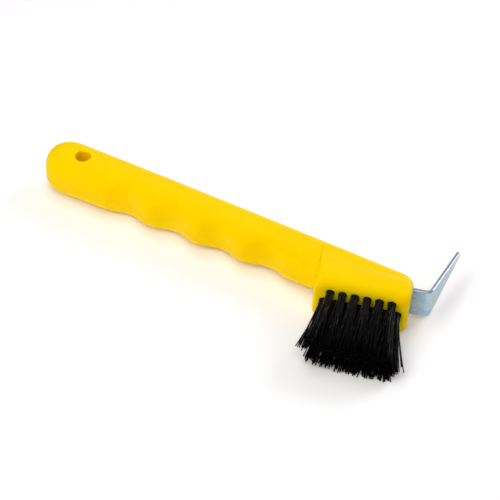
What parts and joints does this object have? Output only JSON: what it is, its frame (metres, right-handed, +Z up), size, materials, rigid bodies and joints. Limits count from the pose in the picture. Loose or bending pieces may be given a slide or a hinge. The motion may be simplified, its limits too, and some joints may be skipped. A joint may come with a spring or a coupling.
{
  "type": "hoof pick",
  "caption": "Hoof pick with a moulded finger-grip handle, a tufted brush head and a bent steel pick that tapers to a rounded tip.",
  "frame": {"origin": "centre of the footprint at the lowest point, with the tool lying on its side", "axes": "+X along the handle from the hang hole end to the hook end, -Y the way the bristles point, +Z up, along the hang hole"},
  "size_m": [0.1666, 0.0746, 0.0192],
  "materials": {
    "yellow_plastic": "satin moulded",
    "zinc_plated_steel": "bright zinc plated",
    "black_bristle": "extruded filament",
    "anchor_wire": "plain drawn wire"
  },
  "bodies": {
    "root": {"handle": "yellow_plastic", "pick": "zinc_plated_steel", "tuft_1_1": "black_bristle", "tuft_1_2": "black_bristle", "tuft_1_3": "black_bristle", "tuft_1_4": "black_bristle", "tuft_1_5": "black_bristle", "tuft_1_6": "black_bristle", "tuft_2_1": "black_bristle", "tuft_2_2": "black_bristle", "tuft_2_3": "black_bristle", "tuft_2_4": "black_bristle", "tuft_2_5": "black_bristle", "tuft_2_6": "black_bristle", "tuft_2_7": "black_bristle", "tuft_3_1": "black_bristle", "tuft_3_2": "black_bristle", "tuft_3_3": "black_bristle", "tuft_3_4": "black_bristle", "tuft_3_5": "black_bristle", "tuft_3_6": "black_bristle", "anchor_1_1": "anchor_wire", "anchor_1_2": "anchor_wire", "anchor_1_3": "anchor_wire", "anchor_1_4": "anchor_wire", "anchor_1_5": "anchor_wire", "anchor_1_6": "anchor_wire", "anchor_2_1": "anchor_wire", "anchor_2_2": "anchor_wire", "anchor_2_3": "anchor_wire", "anchor_2_4": "anchor_wire", "anchor_2_5": "anchor_wire", "anchor_2_6": "anchor_wire", "anchor_2_7": "anchor_wire", "anchor_3_1": "anchor_wire", "anchor_3_2": "anchor_wire", "anchor_3_3": "anchor_wire", "anchor_3_4": "anchor_wire", "anchor_3_5": "anchor_wire", "anchor_3_6": "anchor_wire"}
  },
  "joints": []
}
